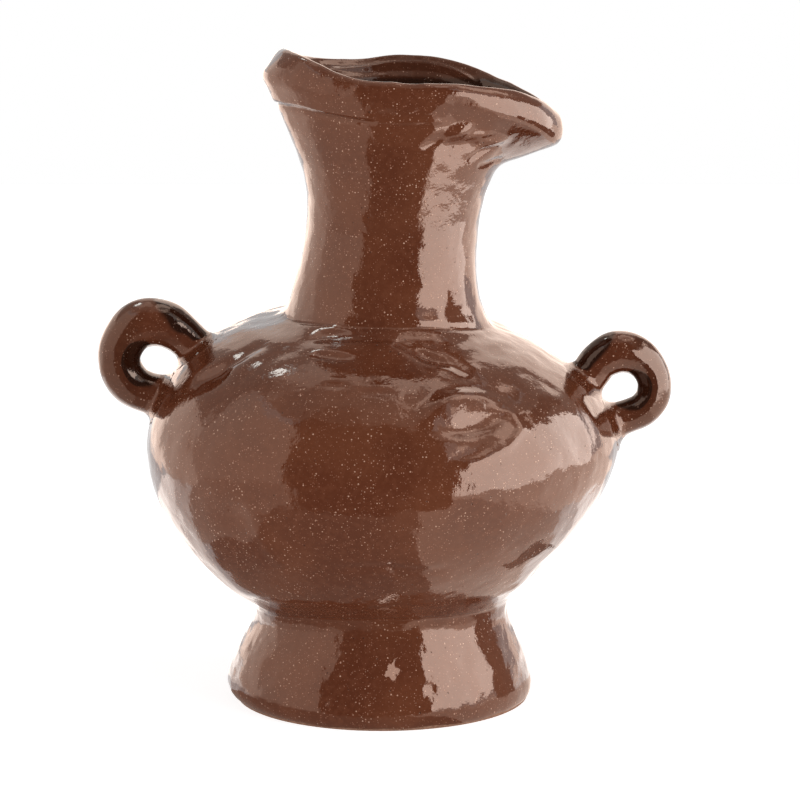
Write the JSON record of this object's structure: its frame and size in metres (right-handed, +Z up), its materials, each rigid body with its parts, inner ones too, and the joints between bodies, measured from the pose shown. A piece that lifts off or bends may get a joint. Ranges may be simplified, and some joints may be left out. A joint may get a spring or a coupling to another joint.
{
  "type": "stoneware vase",
  "caption": "Hand-built footed stoneware vase with a round belly, flared neck, folded wavy lip and a small ring handle on each side, in a gloss dark brown speckled glaze.",
  "frame": {"origin": "centre of the outline, handles included, at the level that the vase stands on", "axes": "+Z up, +X towards the side that the lip droops to, -Y towards the front; the handles lie along X"},
  "size_m": [0.2208, 0.182, 0.2529],
  "materials": {
    "glaze": "gloss dark brown glaze with fine beige specks",
    "bare_clay": "matte fired stoneware, sanded where it stands"
  },
  "bodies": {
    "root": {"base_slab": "bare_clay", "foot_ring": "glaze", "lower_body": "glaze", "shoulder": "glaze", "neck": "glaze", "folded_lip": "glaze", "handle_left": "glaze", "handle_right": "glaze"}
  },
  "joints": []
}
